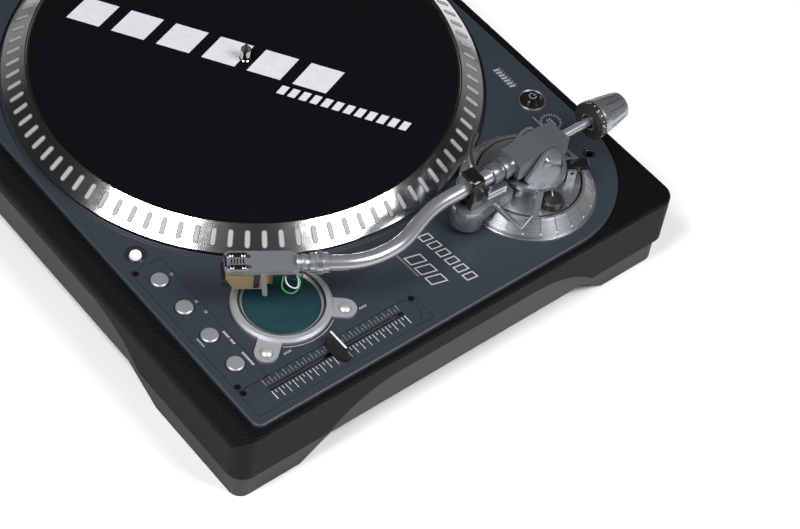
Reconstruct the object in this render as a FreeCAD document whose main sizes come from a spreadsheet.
import FreeCAD, Part
import math
import os

import Sketcher

# A direct-drive record player: a moulded base and plinth, a metal deck with its controls, a cast
# platter on a motor spindle, and an S-shaped tonearm on a height-adjustable base.
# Millimetres. X runs to the right, Y to the back, Z up; the origin is on the floor under the middle.

V = FreeCAD.Vector
doc = FreeCAD.newDocument("RecordPlayer")
sheet = doc.addObject("Spreadsheet::Sheet", "Sizes")


class Size:
    """A length that carries its value and the sheet expression that it comes from."""

    def __init__(self, value, text):
        self.value = value
        self.text = text

    def joined(self, other, sign, value):
        return Size(value, f"({self.text} {sign} {words(other)})")

    def __add__(self, other):
        return self.joined(other, "+", self.value + number(other))

    def __sub__(self, other):
        return self.joined(other, "-", self.value - number(other))

    def __mul__(self, other):
        return self.joined(other, "*", self.value * number(other))

    def __truediv__(self, other):
        return self.joined(other, "/", self.value / number(other))

    def __neg__(self):
        return Size(-self.value, f"(0 - {self.text})")


def number(thing):
    return thing.value if isinstance(thing, Size) else thing


def words(thing):
    return thing.text if isinstance(thing, Size) else repr(thing)


def sine(angle):
    return Size(math.sin(math.radians(angle.value)), f"sin({angle.text})")


def cosine(angle):
    return Size(math.cos(math.radians(angle.value)), f"cos({angle.text})")


def slope_of(rise, run):
    """The angle in degrees of a slope with this rise over this run."""
    angle = math.degrees(math.atan2(rise.value, run.value))
    return Size(angle, f"atan({rise.text} / {run.text}) / 1deg")


def root(thing):
    return Size(math.sqrt(thing.value), f"sqrt({thing.text})")


SIZES = {
    # plinth and base
    "plinth_width": 450.0,
    "plinth_depth": 368.0,
    "plinth_corner": 12.0,
    "plinth_top": 62.7,
    "plinth_wall": 3.0,
    "plinth_roof": 6.0,
    "skirt_low": 23.5,
    "shoulder_radius": 12.0,
    "top_edge_radius": 2.0,
    "arch_top": 47.0,
    "side_arch_flat": 57.0,
    "side_arch_end": 113.0,
    "front_arch_flat": 63.0,
    "front_arch_end": 119.0,
    "shell_gap": 0.3,
    "base_low": 1.0,
    "base_high": 54.0,
    "base_wall": 4.0,
    "base_corner": 9.0,
    "floor_low": 16.5,
    "floor_thickness": 3.0,
    "side_foot_inner": 108.0,
    "side_foot_outer": 131.0,
    "front_foot_inner": 103.0,
    "front_foot_outer": 134.5,
    "pad_radius": 14.0,
    "pad_recess": 2.0,
    "pad_from_side": 24.0,
    "pad_gap": 0.3,
    "service_width": 250.0,
    "service_depth": 180.0,
    "cover_lap": 10.0,
    "cover_thickness": 1.5,
    "service_corner": 6.0,
    "cover_corner": 5.0,
    "cover_screw_radius": 1.6,
    "cover_head_radius": 3.2,
    "cover_head_height": 1.6,
    "screw_slot": 0.5,
    "rear_half_width": 58.0,
    "rear_low": 22.0,
    "rear_high": 46.0,
    "rear_wall": 2.0,
    "rear_depth": 17.0,
    "inlet_x": -34.0,
    "inlet_half_width": 13.8,
    "inlet_half_height": 9.6,
    "inlet_depth": 18.0,
    "inlet_lip": 2.0,
    "inlet_wall": 2.0,
    "jack_one_x": 10.0,
    "jack_two_x": 27.0,
    "jack_radius": 4.1,
    "jack_bore": 1.7,
    "jack_flange": 1.8,
    "jack_flange_thickness": 1.2,
    "jack_length": 10.0,
    "jack_tail": 8.0,
    "post_x": 45.0,
    "post_radius": 2.0,
    "post_length": 12.0,
    "post_tail": 6.0,
    "nut_radius": 4.6,
    "nut_flange": 0.8,
    "nut_start": 1.0,
    "nut_length": 8.0,
    "nut_bevel": 0.6,
    "board_rise": 5.0,
    "board_thickness": 1.6,
    # deck plate
    "plate_top": 65.4,
    "plate_thickness": 5.0,
    "plate_side_margin": 5.0,
    "plate_front_margin": 15.7,
    "plate_rear_margin": 8.4,
    "plate_corner": 6.0,
    "plate_round_corner": 77.0,
    "plate_edge_radius": 1.6,
    "plate_gap": 0.4,
    "ledge": 14.0,
    "ledge_corner": 5.0,
    # platter and drive
    "platter_x": -27.0,
    "platter_y": 5.0,
    "platter_radius": 166.0,
    "platter_top_radius": 150.0,
    "platter_edge_high": 68.2,
    "platter_high": 80.2,
    "platter_low": 63.6,
    "platter_web": 4.8,
    "well_gap": 3.0,
    "well_depth": 2.6,
    "well_hole": 148.0,
    "marks": 90.0,
    "mark_length": 11.5,
    "mark_width": 3.4,
    "mark_depth": 0.8,
    "mat_radius": 147.5,
    "mat_thickness": 1.6,
    "mat_recess": 1.8,
    "spindle_radius": 3.6,
    "spindle_shaft_radius": 5.0,
    "spindle_collar_radius": 4.2,
    "spindle_high": 93.4,
    "running_gap": 0.05,
    "hub_wall": 8.0,
    "hub_depth": 13.0,
    "rim_wall": 14.0,
    "rim_slope": 8.0,
    "mat_lip": 1.4,
    "lip_chamfer": 0.5,
    "shaft_step": 1.0,
    "shaft_depth": 16.0,
    "spindle_tip_radius": 0.9,
    "spindle_tip_height": 4.0,
    "collar_rise": 1.0,
    "bearing_wall": 5.0,
    "bearing_flange": 4.0,
    "bearing_floor": 4.0,
    "bearing_top_gap": 1.0,
    "free_gap": 0.3,
    "tray_floor": 50.0,
    "tray_thickness": 2.5,
    "tray_lap": 8.0,
    "tray_wall": 2.0,
    "tray_inset": 1.0,
    "stator_height": 14.0,
    "stator_bore_gap": 1.0,
    "rotor_drop": 6.0,
    "stator_radius": 42.0,
    "rotor_wall": 10.0,
    "rotor_gap": 2.0,
    # display
    "display_x": 150.4,
    "display_y": -97.2,
    "display_radius": 33.0,
    "display_ring_width": 7.8,
    "display_lap": 3.0,
    "display_seat": 2.0,
    "display_seat_depth": 1.0,
    "display_glass_thickness": 1.8,
    "display_flat": 3.0,
    "display_bevel": 1.6,
    "display_step": 1.5,
    "display_step_low": 1.2,
    "display_step_lower": 2.2,
    "module_depth": 7.0,
    "module_gap": 0.3,
    "tab_sink": 1.5,
    "display_high": 69.0,
    "tab_radius": 7.8,
    "tab_thickness": 1.4,
    "dome_radius": 4.0,
    "dome_travel": 0.8,
    "dome_front_x": 26.5,
    "dome_front_y": -32.0,
    "dome_rear_x": 26.0,
    "dome_rear_y": 30.8,
    "dome_flange": 0.9,
    "dome_flange_depth": 2.0,
    "dome_lift": 0.4,
    "dome_rise": 1.7,
    "flange_room": 0.5,
    # control panels
    "panel_left": 76.0,
    "panel_split": 190.9,
    "panel_right": 213.3,
    "panel_front": -162.0,
    "button_panel_rear": -138.4,
    "fader_panel_rear": -23.0,
    "panel_thickness": 2.0,
    "panel_groove": 0.3,
    "panel_corner": 1.2,
    "panel_screw_inset": 2.6,
    "panel_screw_split": 3.4,
    "panel_screw_radius": 1.3,
    "panel_head_lap": 0.6,
    "panel_head_depth": 1.1,
    "panel_head_sink": 0.3,
    "button_radius": 5.8,
    "button_y": -150.0,
    "button_first_x": 91.5,
    "button_pitch": 27.0,
    "button_high": 67.0,
    "button_flange": 1.0,
    "button_flange_depth": 1.0,
    "button_flange_room": 0.6,
    "button_bevel": 0.7,
    "button_crown": 0.1,
    "fader_x": 199.4,
    "fader_y": -90.7,
    "fader_travel": 50.0,
    "fader_slot_width": 3.2,
    "fader_well_width": 19.6,
    "fader_well_depth": 0.7,
    "fader_well_shift": 1.8,
    "fader_well_end": 15.0,
    "fader_slot_end": 4.0,
    "fader_case_depth": 13.0,
    "fader_case_wall": 2.0,
    "fader_bore_end": 6.0,
    "fader_channel_width": 10.0,
    "fader_lip_width": 4.0,
    "fader_lip_thickness": 3.0,
    "carriage_length": 10.0,
    "carriage_gap": 0.4,
    "carriage_rise": 0.5,
    "stem_width": 2.0,
    "stem_length": 6.0,
    "stem_sink": 4.0,
    "fader_case_width": 14.0,
    "fader_case_end": 8.0,
    "control_clearance": 2.0,
    "knob_length": 24.0,
    "knob_width": 11.0,
    "ridge_length": 17.0,
    "ridge_width": 1.8,
    "knob_low": 66.3,
    "knob_high": 75.7,
    # lights and larger buttons
    "light_x": 65.5,
    "light_y": -150.4,
    "light_radius": 7.0,
    "light_depth": 20.0,
    "light_rim": 1.2,
    "light_bevel": 0.6,
    "light_dish": 1.6,
    "lens_inset": 2.8,
    "lens_taper": 0.6,
    "lens_rise": 2.0,
    "lens_crown": 3.0,
    "power_x": 103.9,
    "power_y": 156.6,
    "power_radius": 10.2,
    "power_wall": 1.7,
    "power_lap": 1.0,
    "power_skirt": 3.0,
    "power_rise": 1.2,
    "power_bevel": 0.8,
    "power_cap_depth": 6.0,
    "power_step_one": 1.2,
    "power_step_two": 1.9,
    "power_step_three": 3.0,
    "power_step_rise": 1.4,
    "power_dome_low": 2.6,
    "power_dome_high": 3.8,
    "power_dome_top": 4.4,
    "start_x": -197.0,
    "start_front_y": -145.0,
    "start_rear_y": 150.0,
    "start_side": 28.0,
    "start_corner": 3.0,
    "start_rise": 2.0,
    "start_depth": 4.0,
    "start_edge": 1.0,
    "spare_x": 163.6,
    "spare_y": 157.1,
    "spare_radius": 3.8,
    # tonearm base
    "arm_x": 163.0,
    "arm_y": 100.0,
    "arm_z": 102.0,
    "flange_radius": 47.5,
    "flange_wall": 2.5,
    "flange_depth": 6.0,
    "flange_rise": 1.2,
    "flange_bevel": 0.4,
    "flange_bush_gap": 0.5,
    "ring_radius": 46.2,
    "ring_top_radius": 38.6,
    "ring_bore": 36.3,
    "ring_lift": 1.5,
    "ring_foot": 1.5,
    "ring_chamfer": 0.5,
    "groove_length": 14.0,
    "groove_width": 0.9,
    "groove_depth": 0.6,
    "plate_bush_room": 4.0,
    "ring_high": 77.0,
    "ring_grooves": 24.0,
    "disc_radius": 34.9,
    "disc_thickness": 2.6,
    "guide_radius": 31.0,
    "cup_radius": 23.5,
    "cup_high": 90.0,
    "cup_neck_radius": 17.5,
    "cup_neck_high": 83.0,
    "guide_wall": 3.0,
    "guide_depth": 4.0,
    "cup_wall": 3.0,
    "cup_flare": 4.0,
    "cup_floor": 2.0,
    "cup_slant": 0.8,
    "yoke_gap": 0.4,
    "yoke_sink": 1.2,
    "ear_thickness": 2.0,
    "ear_width": 6.0,
    "ear_rise": 4.5,
    "ear_left": -6.4,
    "ear_right": 4.4,
    "cue_pin_radius": 1.5,
    "yoke_pin_radius": 3.0,
    "rest_x": 2.0,
    "rest_y": -56.0,
    "rest_radius": 11.0,
    "rest_high": 88.0,
    "clip_length": 9.0,
    "clip_lift": 3.0,
    "lift_x": 4.0,
    "lift_y": -28.0,
    "lift_arc": 41.5,
    "lift_sweep": 65.0,
    "lift_gap": 0.5,
    "lift_shaft_radius": 2.5,
    "cue_from_pivot": 27.0,
    "cue_angle": 60.0,
    "bias_x": 27.0,
    "bias_y": -3.5,
    "bias_radius": 7.5,
    # tonearm
    "block_width": 19.0,
    "block_front": 22.0,
    "block_rear": 21.0,
    "shaft_grip": 8.0,
    "tube_grip": 6.0,
    "pivot_radius": 2.0,
    "pivot_head_radius": 3.4,
    "pivot_head_height": 1.3,
    "pivot_cross_depth": 0.7,
    "pivot_cross_length": 4.8,
    "pivot_cross_width": 0.8,
    "pivot_shank": 6.0,
    "cheek_gap": 0.8,
    "cheek_thickness": 2.4,
    "tube_radius": 5.0,
    "tube_wall": 1.2,
    "tube_straight_end": -74.0,
    "bend_out_radius": 75.0,
    "bend_out_angle": 20.0,
    "bend_middle": 15.0,
    "bend_in_radius": 60.0,
    "offset_angle": 33.4,
    "tube_tail": 10.0,
    "shell_width": 17.0,
    "shell_start": 14.0,
    "shell_length": 48.0,
    "shell_thickness": 3.2,
    "cartridge_length": 27.0,
    "cartridge_height": 14.5,
    "stylus_low": 82.3,
    "shaft_radius": 3.0,
    "weight_radius": 13.3,
    "weight_end_radius": 9.5,
    "weight_from_pivot": 52.8,
    "weight_length": 24.7,
    "dial_thickness": 5.5,
    "sleeve_radius": 5.0,
    "sleeve_lead": 1.0,
    "sleeve_inset": 9.5,
    "shaft_inset": 7.5,
    "weight_nose_radius": 6.4,
    "weight_nose_length": 5.0,
    "weight_rim": 1.5,
    "weight_bevel": 1.2,
    "weight_cap": 3.5,
    "dial_taper": 3.0,
    "dial_face": 1.6,
}


def fill_sheet():
    made = {}
    for row, (alias, value) in enumerate(SIZES.items(), start=1):
        sheet.set(f"A{row}", alias)
        sheet.set(f"B{row}", str(value))
        sheet.setAlias(f"B{row}", alias)
        made[alias] = Size(value, "Sizes." + alias)
    doc.recompute()
    return made


D = fill_sheet()
UP = V(0, 0, 1)
DOWN = V(0, 0, -1)
ALONG_X = V(1, 0, 0)
ALONG_Y = V(0, 1, 0)


# ---------------------------------------------------------------- helpers

def bind(item, path, size):
    """Tie one property to the sheet, or set it once when the size is a plain number."""
    item.setExpression(path, words(size))


def place(item, x=0, y=0, z=0, axis=UP, angle=0):
    """Put an object at a point bound to the sheet, turned about an axis through it."""
    turn = FreeCAD.Rotation(axis, number(angle))
    item.Placement = FreeCAD.Placement(V(number(x), number(y), number(z)), turn)
    for letter, size in (("x", x), ("y", y), ("z", z)):
        bind(item, "Placement.Base." + letter, size)
    if isinstance(angle, Size):
        bind(item, "Placement.Rotation.Angle", angle)
    return item


def body(name):
    item = doc.addObject("PartDesign::Body", name)
    item.Label = name
    return item


def origin_part(item, role):
    return [part for part in item.Origin.OriginFeatures if part.Role == role][0]


def sketch(item, name, role="XY_Plane", away=0):
    """A sketch on one of the body's own planes, moved along its normal."""
    made = item.newObject("Sketcher::SketchObject", name)
    made.AttachmentSupport = (origin_part(item, role), [""])
    made.MapMode = "FlatFace"
    bind(made, "AttachmentOffset.Base.z", away)
    return made


def fix_point(made, side, end, x, y):
    for kind, size in (("DistanceX", x), ("DistanceY", y)):
        index = made.addConstraint(Sketcher.Constraint(kind, side, end, number(size)))
        bind(made, f"Constraints[{index}]", size)


def circle(made, x, y, radius):
    shape = Part.Circle(V(number(x), number(y), 0), UP, number(radius))
    index = made.addGeometry(shape, False)
    fix_point(made, index, 3, x, y)
    rule = made.addConstraint(Sketcher.Constraint("Radius", index, number(radius)))
    bind(made, f"Constraints[{rule}]", radius)


def arc_between(start, end, radius):
    """The short arc between two points; a positive radius turns left, a negative one right."""
    chord = end - start
    half = chord.Length / 2
    reach = math.sqrt(max(radius * radius - half * half, 0))
    left = V(-chord.y, chord.x, 0).normalize()
    middle = (start + end) * 0.5 + left * (reach if radius > 0 else -reach)
    first, last = (start, end) if radius > 0 else (end, start)
    low = math.atan2(first.y - middle.y, first.x - middle.x)
    high = math.atan2(last.y - middle.y, last.x - middle.x)
    return Part.ArcOfCircle(Part.Circle(middle, UP, abs(radius)), low, high)


def outline(made, corners, closed=True):
    """Join corners by straight sides; a corner's third value is the radius of the side after it."""
    points = [V(number(c[0]), number(c[1]), 0) for c in corners]
    count = len(corners) if closed else len(corners) - 1
    starts = []
    ends = []
    for i in range(count):
        after = points[(i + 1) % len(points)]
        radius = corners[i][2] if len(corners[i]) > 2 else 0
        bend = number(radius)
        if bend:
            side = made.addGeometry(arc_between(points[i], after, bend), False)
            size = radius if bend > 0 else -radius
            rule = made.addConstraint(Sketcher.Constraint("Radius", side, abs(bend)))
            bind(made, f"Constraints[{rule}]", size)
        else:
            side = made.addGeometry(Part.LineSegment(points[i], after), False)
        starts.append((side, 2 if bend < 0 else 1))
        ends.append((side, 1 if bend < 0 else 2))
    for i in range(count):
        fix_point(made, starts[i][0], starts[i][1], corners[i][0], corners[i][1])
        if i + 1 < count or closed:
            following = starts[(i + 1) % count]
            made.addConstraint(Sketcher.Constraint("Coincident", *ends[i], *following))
    if not closed:
        fix_point(made, ends[-1][0], ends[-1][1], corners[-1][0], corners[-1][1])


def rounded_box(left, right, front, rear, radius):
    """The corners of a rectangle with equal round corners, anticlockwise from the front left."""
    return [
        (left + radius, front),
        (right - radius, front, radius),
        (right, front + radius),
        (right, rear - radius, radius),
        (right - radius, rear),
        (left + radius, rear, radius),
        (left, rear - radius),
        (left, front + radius, radius),
    ]


def draw(made, shapes):
    """Draw each shape: ("circle", x, y, radius) or a list of corners."""
    for shape in shapes:
        if shape[0] == "circle":
            circle(made, *shape[1:])
        else:
            outline(made, shape)


def pad(item, name, shapes, low, length, role="XY_Plane", midplane=False):
    made = sketch(item, name + "_sketch", role, low)
    draw(made, shapes)
    grown = item.newObject("PartDesign::Pad", name)
    grown.Profile = made
    grown.Midplane = midplane
    bind(grown, "Length", length)
    return grown


def pocket(item, name, shapes, high, depth, role="XY_Plane", midplane=False):
    """Cut shapes downwards from a height, or both ways from a plane."""
    doc.recompute()
    before = item.Shape.Volume
    made = sketch(item, name + "_sketch", role, high)
    draw(made, shapes)
    cut = item.newObject("PartDesign::Pocket", name)
    cut.Profile = made
    cut.Midplane = midplane
    bind(cut, "Length", depth)
    doc.recompute()
    if item.Shape.Volume >= before:
        raise ValueError(name + " cuts nothing")
    return cut


def turn(item, name, profile, kind="PartDesign::Revolution"):
    """Turn a profile of (radius, height) corners about the body's own Z axis."""
    made = sketch(item, name + "_sketch", "XZ_Plane")
    outline(made, profile)
    spun = item.newObject(kind, name)
    spun.Profile = made
    spun.ReferenceAxis = (made, ["V_Axis"])
    spun.Angle = 360
    return spun


def turned(name, profile):
    item = body(name)
    turn(item, name + "_turn", profile)
    return item


def fillet(item, feature, radius, wanted):
    """Round the edges of a feature that a test picks."""
    doc.recompute()
    edges = feature.Shape.Edges
    names = [f"Edge{i}" for i, edge in enumerate(edges, start=1) if wanted(edge)]
    rounded = item.newObject("PartDesign::Fillet", feature.Name + "_round")
    rounded.Base = (feature, names)
    bind(rounded, "Radius", radius)
    return rounded


def at_height(level):
    def test(edge):
        return all(abs(v.Z - level.value) < 1e-4 for v in edge.Vertexes)
    return test


def polar(item, name, feature, count):
    pattern = item.newObject("PartDesign::PolarPattern", name)
    pattern.Originals = [feature]
    pattern.Axis = (origin_part(item, "Z_Axis"), [""])
    pattern.Angle = 360
    bind(pattern, "Occurrences", count)
    item.Tip = pattern
    return pattern


def sloped_mark(item, name, radius, height, slope, length, width, depth):
    """One round-ended mark cut square to a cone's surface, lying along its slope."""
    made = item.newObject("Sketcher::SketchObject", name + "_sketch")
    made.AttachmentSupport = (origin_part(item, "XY_Plane"), [""])
    made.MapMode = "FlatFace"
    made.AttachmentOffset = FreeCAD.Placement(V(), FreeCAD.Rotation(ALONG_Y, slope.value))
    bind(made, "AttachmentOffset.Base.x", radius)
    bind(made, "AttachmentOffset.Base.z", height)
    bind(made, "AttachmentOffset.Rotation.Angle", slope)
    end = length / 2 - width / 2
    side = width / 2
    outline(made, [(-end, -side), (end, -side, side * 1.0001), (end, side), (-end, side, side * 1.0001)])
    cut = item.newObject("PartDesign::Pocket", name)
    cut.Profile = made
    bind(cut, "Length", depth)
    return cut


def box(name, left, right, front, rear, low, high):
    made = doc.addObject("Part::Box", name)
    bind(made, "Length", right - left)
    bind(made, "Width", rear - front)
    bind(made, "Height", high - low)
    return place(made, left, front, low)


def cylinder(name, radius, length, x, y, z, axis=UP, angle=0):
    made = doc.addObject("Part::Cylinder", name)
    bind(made, "Radius", radius)
    bind(made, "Height", length)
    return place(made, x, y, z, axis, angle)


def cut_away(name, base, tools):
    joined = tools[0]
    if len(tools) > 1:
        joined = doc.addObject("Part::MultiFuse", name + "_tools")
        joined.Shapes = tools
    made = doc.addObject("Part::Cut", name)
    made.Base = base
    made.Tool = joined
    made.Label = name
    return made


def fused(name, pieces):
    made = doc.addObject("Part::MultiFuse", name)
    made.Shapes = pieces
    made.Label = name
    return made


def grouped(name, pieces):
    made = doc.addObject("Part::Compound", name)
    made.Links = pieces
    made.Label = name
    return made


parts = []


def keep(item):
    parts.append(item)
    return item


# ---------------------------------------------------------------- levels and places that pieces share

ZERO = D["plinth_width"] * 0
HALF_WIDTH = D["plinth_width"] / 2
HALF_DEPTH = D["plinth_depth"] / 2
BASE_HALF_WIDTH = HALF_WIDTH - D["plinth_wall"] - D["shell_gap"]
BASE_HALF_DEPTH = HALF_DEPTH - D["plinth_wall"] - D["shell_gap"]
FLOOR_TOP = D["floor_low"] + D["floor_thickness"]
PLATE_TOP = D["plate_top"]
PLATE_LOW = PLATE_TOP - D["plate_thickness"]
PANEL_LOW = PLATE_TOP - D["panel_thickness"]
WELL_FLOOR = PLATE_TOP - D["well_depth"]
MAT_LOW = D["platter_high"] - D["mat_recess"]
MAT_TOP = MAT_LOW + D["mat_thickness"]
WEB_LOW = MAT_LOW - D["platter_web"]
HUB_LOW = WEB_LOW - D["hub_depth"]
TRAY_TOP = D["tray_floor"] + D["tray_thickness"]
TUBE_LOW = D["arm_z"] - D["tube_radius"]
DISC_LOW = D["ring_high"] - D["disc_thickness"]
THROUGH = D["plate_thickness"] * 4
ALL_X = D["plinth_width"] * 1.2
ALL_Y = D["plinth_depth"] * 1.2

SPOTS = {
    "dome_front": (D["display_x"] + D["dome_front_x"], D["display_y"] + D["dome_front_y"]),
    "dome_rear": (D["display_x"] + D["dome_rear_x"], D["display_y"] + D["dome_rear_y"]),
    "start_front": (D["start_x"], D["start_front_y"]),
    "start_rear": (D["start_x"], D["start_rear_y"]),
}
BUTTON_XS = [D["button_first_x"] + D["button_pitch"] * i for i in range(4)]
PANEL_SCREW_SPOTS = [
    (D["panel_left"] + D["panel_screw_inset"], D["panel_front"] + D["panel_screw_inset"]),
    (D["panel_split"] - D["panel_screw_split"], D["panel_front"] + D["panel_screw_inset"]),
    (D["panel_split"] + D["panel_screw_inset"], D["panel_front"] + D["panel_screw_inset"]),
    (D["panel_split"] + D["panel_screw_inset"], D["fader_panel_rear"] - D["panel_screw_inset"]),
]
PANEL_SCREW_RADIUS = D["panel_screw_radius"]
BASE_SCREW_RADIUS = D["cover_screw_radius"]
COVER_HALF_X = D["service_width"] / 2 + D["cover_lap"]
COVER_HALF_Y = D["service_depth"] / 2 + D["cover_lap"]
COVER_SCREW_SPOTS = [
    ((COVER_HALF_X - D["cover_lap"] / 2) * across, (COVER_HALF_Y - D["cover_lap"] / 2) * along)
    for across in (-1, 0, 1)
    for along in (-1, 1)
]
PAD_SPOTS = [
    ((BASE_HALF_WIDTH - D["pad_from_side"]) * across, (BASE_HALF_DEPTH - D["pad_from_side"]) * along)
    for across in (-1, 1)
    for along in (-1, 1)
]


def plate_outline(grow, corner):
    """The deck plate's outline, grown outwards, with its one large round corner at the back right."""
    left = -HALF_WIDTH + D["plate_side_margin"] - grow
    right = HALF_WIDTH - D["plate_side_margin"] + grow
    front = -HALF_DEPTH + D["plate_front_margin"] - grow
    rear = HALF_DEPTH - D["plate_rear_margin"] + grow
    large = D["plate_round_corner"] + grow
    return [
        (left + corner, front),
        (right - corner, front, corner),
        (right, front + corner),
        (right, rear - large, large),
        (right - large, rear),
        (left + corner, rear, corner),
        (left, rear - corner),
        (left, front + corner, corner),
    ]


# ---------------------------------------------------------------- plinth, base and covers

def control_clearances():
    """Holes in the ledge under the deck plate for the controls that reach down beside it."""
    wide = D["control_clearance"]
    shapes = [("circle", x, D["button_y"], D["button_radius"] + wide) for x in BUTTON_XS]
    shapes.append(("circle", D["light_x"], D["light_y"], D["light_radius"] + wide))
    shapes.append(("circle", D["power_x"], D["power_y"], D["power_radius"] + wide))
    shapes.append(("circle", D["spare_x"], D["spare_y"], D["spare_radius"] + wide))
    shapes.append(start_hole("start_front", wide / 2))
    shapes.append(start_hole("start_rear", wide / 2))
    half = D["fader_case_width"] / 2 + wide / 2
    reach = D["fader_travel"] + D["fader_case_end"] + wide / 2
    shapes.append(rounded_box(
        D["fader_x"] - half, D["fader_x"] + half, D["fader_y"] - reach, D["fader_y"] + reach, wide / 2))
    return shapes


def make_plinth_shell():
    item = body("plinth_shell")
    top = D["plinth_top"]
    skin = rounded_box(-HALF_WIDTH, HALF_WIDTH, -HALF_DEPTH, HALF_DEPTH, D["plinth_corner"])
    block = pad(item, "plinth_block", [skin], D["skirt_low"], top - D["skirt_low"])
    fillet(item, block, D["top_edge_radius"], at_height(top))
    out = 1
    radius = D["shoulder_radius"]
    shoulder = [
        (-HALF_DEPTH - out, top - radius),
        (-HALF_DEPTH, top - radius, -radius),
        (-HALF_DEPTH + radius, top),
        (-HALF_DEPTH + radius, top + out),
        (-HALF_DEPTH - out, top + out),
    ]
    pocket(item, "plinth_shoulder", [shoulder], 0, ALL_X, "YZ_Plane", True)
    inside = rounded_box(
        -HALF_WIDTH + D["plinth_wall"], HALF_WIDTH - D["plinth_wall"],
        -HALF_DEPTH + D["plinth_wall"], HALF_DEPTH - D["plinth_wall"],
        D["plinth_corner"] - D["plinth_wall"])
    roof_low = top - D["plinth_roof"]
    pocket(item, "plinth_hollow", [inside], roof_low, roof_low - D["skirt_low"] + out)
    recess = plate_outline(D["plate_gap"], D["plate_corner"] + D["plate_gap"])
    pocket(item, "plate_recess", [recess], top, top - PLATE_LOW)
    opening = plate_outline(-D["ledge"], D["ledge_corner"])
    pocket(item, "plinth_opening", [opening], top, D["plinth_roof"] + out)
    pocket(item, "control_clearances", control_clearances(), top, D["plinth_roof"] + out)
    for word, role, flat, end, reach in (
            ("side", "YZ_Plane", D["side_arch_flat"], D["side_arch_end"], ALL_X),
            ("front", "XZ_Plane", D["front_arch_flat"], D["front_arch_end"], ALL_Y)):
        rise = D["arch_top"] - D["skirt_low"]
        run = end - flat
        sweep = (run * run + rise * rise) / (rise * 2)
        arch = [
            (-end, D["skirt_low"] - out),
            (end, D["skirt_low"] - out),
            (end, D["skirt_low"], sweep),
            (flat, D["arch_top"]),
            (-flat, D["arch_top"], sweep),
            (-end, D["skirt_low"]),
        ]
        pocket(item, word + "_arch", [arch], 0, reach, role, True)
    keep(item)


REAR_LEFT = -D["rear_half_width"]
REAR_RIGHT = D["rear_half_width"]
REAR_LOW = D["rear_low"]
REAR_HIGH = D["rear_high"]
REAR_WALL = D["rear_wall"]
REAR_DEPTH = D["rear_depth"]


def make_base_tray():
    item = body("base_tray")
    low = D["base_low"]
    skin = rounded_box(
        -BASE_HALF_WIDTH, BASE_HALF_WIDTH, -BASE_HALF_DEPTH, BASE_HALF_DEPTH, D["base_corner"])
    pad(item, "base_block", [skin], low, D["base_high"] - low)
    wall = D["base_wall"]
    inside = rounded_box(
        -BASE_HALF_WIDTH + wall, BASE_HALF_WIDTH - wall,
        -BASE_HALF_DEPTH + wall, BASE_HALF_DEPTH - wall, D["base_corner"] - wall)
    pocket(item, "base_hollow", [inside], D["base_high"], D["base_high"] - FLOOR_TOP)
    out = 1
    for word, role, inner, outer, reach in (
            ("side", "YZ_Plane", D["side_foot_inner"], D["side_foot_outer"], ALL_X),
            ("front", "XZ_Plane", D["front_foot_inner"], D["front_foot_outer"], ALL_Y)):
        gap = [
            (-outer, low - out), (outer, low - out), (outer, low),
            (inner, D["floor_low"]), (-inner, D["floor_low"]), (-outer, low)]
        pocket(item, word + "_feet_gap", [gap], 0, reach, role, True)
    service = rounded_box(
        -D["service_width"] / 2, D["service_width"] / 2,
        -D["service_depth"] / 2, D["service_depth"] / 2, D["service_corner"])
    holes = [("circle", x, y, BASE_SCREW_RADIUS) for x, y in COVER_SCREW_SPOTS]
    pocket(item, "service_opening", [service] + holes, FLOOR_TOP, D["floor_thickness"] + out)
    pads = [("circle", x, y, D["pad_radius"] + D["pad_gap"]) for x, y in PAD_SPOTS]
    pocket(item, "pad_recesses", pads, low + D["pad_recess"], D["pad_recess"] + out)
    window = [
        (REAR_LEFT, REAR_LOW), (REAR_RIGHT, REAR_LOW), (REAR_RIGHT, REAR_HIGH), (REAR_LEFT, REAR_HIGH)]
    pocket(item, "rear_window", [window], -BASE_HALF_DEPTH - out, -(wall + out + 1), "XZ_Plane")
    keep(item)


def make_foot_pads():
    high = D["base_low"] + D["pad_recess"]
    discs = [
        cylinder(f"pad_disc_{i}", D["pad_radius"], high, x, y, ZERO)
        for i, (x, y) in enumerate(PAD_SPOTS)
    ]
    keep(grouped("foot_pads", discs))


def make_bottom_cover():
    item = body("bottom_cover")
    skin = rounded_box(-COVER_HALF_X, COVER_HALF_X, -COVER_HALF_Y, COVER_HALF_Y, D["cover_corner"])
    holes = [("circle", x, y, BASE_SCREW_RADIUS) for x, y in COVER_SCREW_SPOTS]
    pad(item, "cover_sheet", [skin] + holes, D["floor_low"] - D["cover_thickness"], D["cover_thickness"])
    keep(item)


def screw(name, x, y, head_low, head_high, shank_low, shank_high, radius, head_radius, slot_side):
    """A screw standing on Z: a head, a shank and a slot cut into the head's outer face."""
    head = cylinder(name + "_head", head_radius, head_high - head_low, x, y, head_low)
    shank = cylinder(name + "_shank", radius, shank_high - shank_low, x, y, shank_low)
    whole = doc.addObject("Part::MultiFuse", name + "_whole")
    whole.Shapes = [head, shank]
    deep = (head_high - head_low) / 2
    slot_low = head_high - deep if slot_side > 0 else head_low - deep
    gap = D["screw_slot"] / 2
    slot = box(
        name + "_slot", x - head_radius, x + head_radius, y - gap, y + gap, slot_low, slot_low + deep * 2)
    cut = doc.addObject("Part::Cut", name)
    cut.Base = whole
    cut.Tool = slot
    return cut


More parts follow.
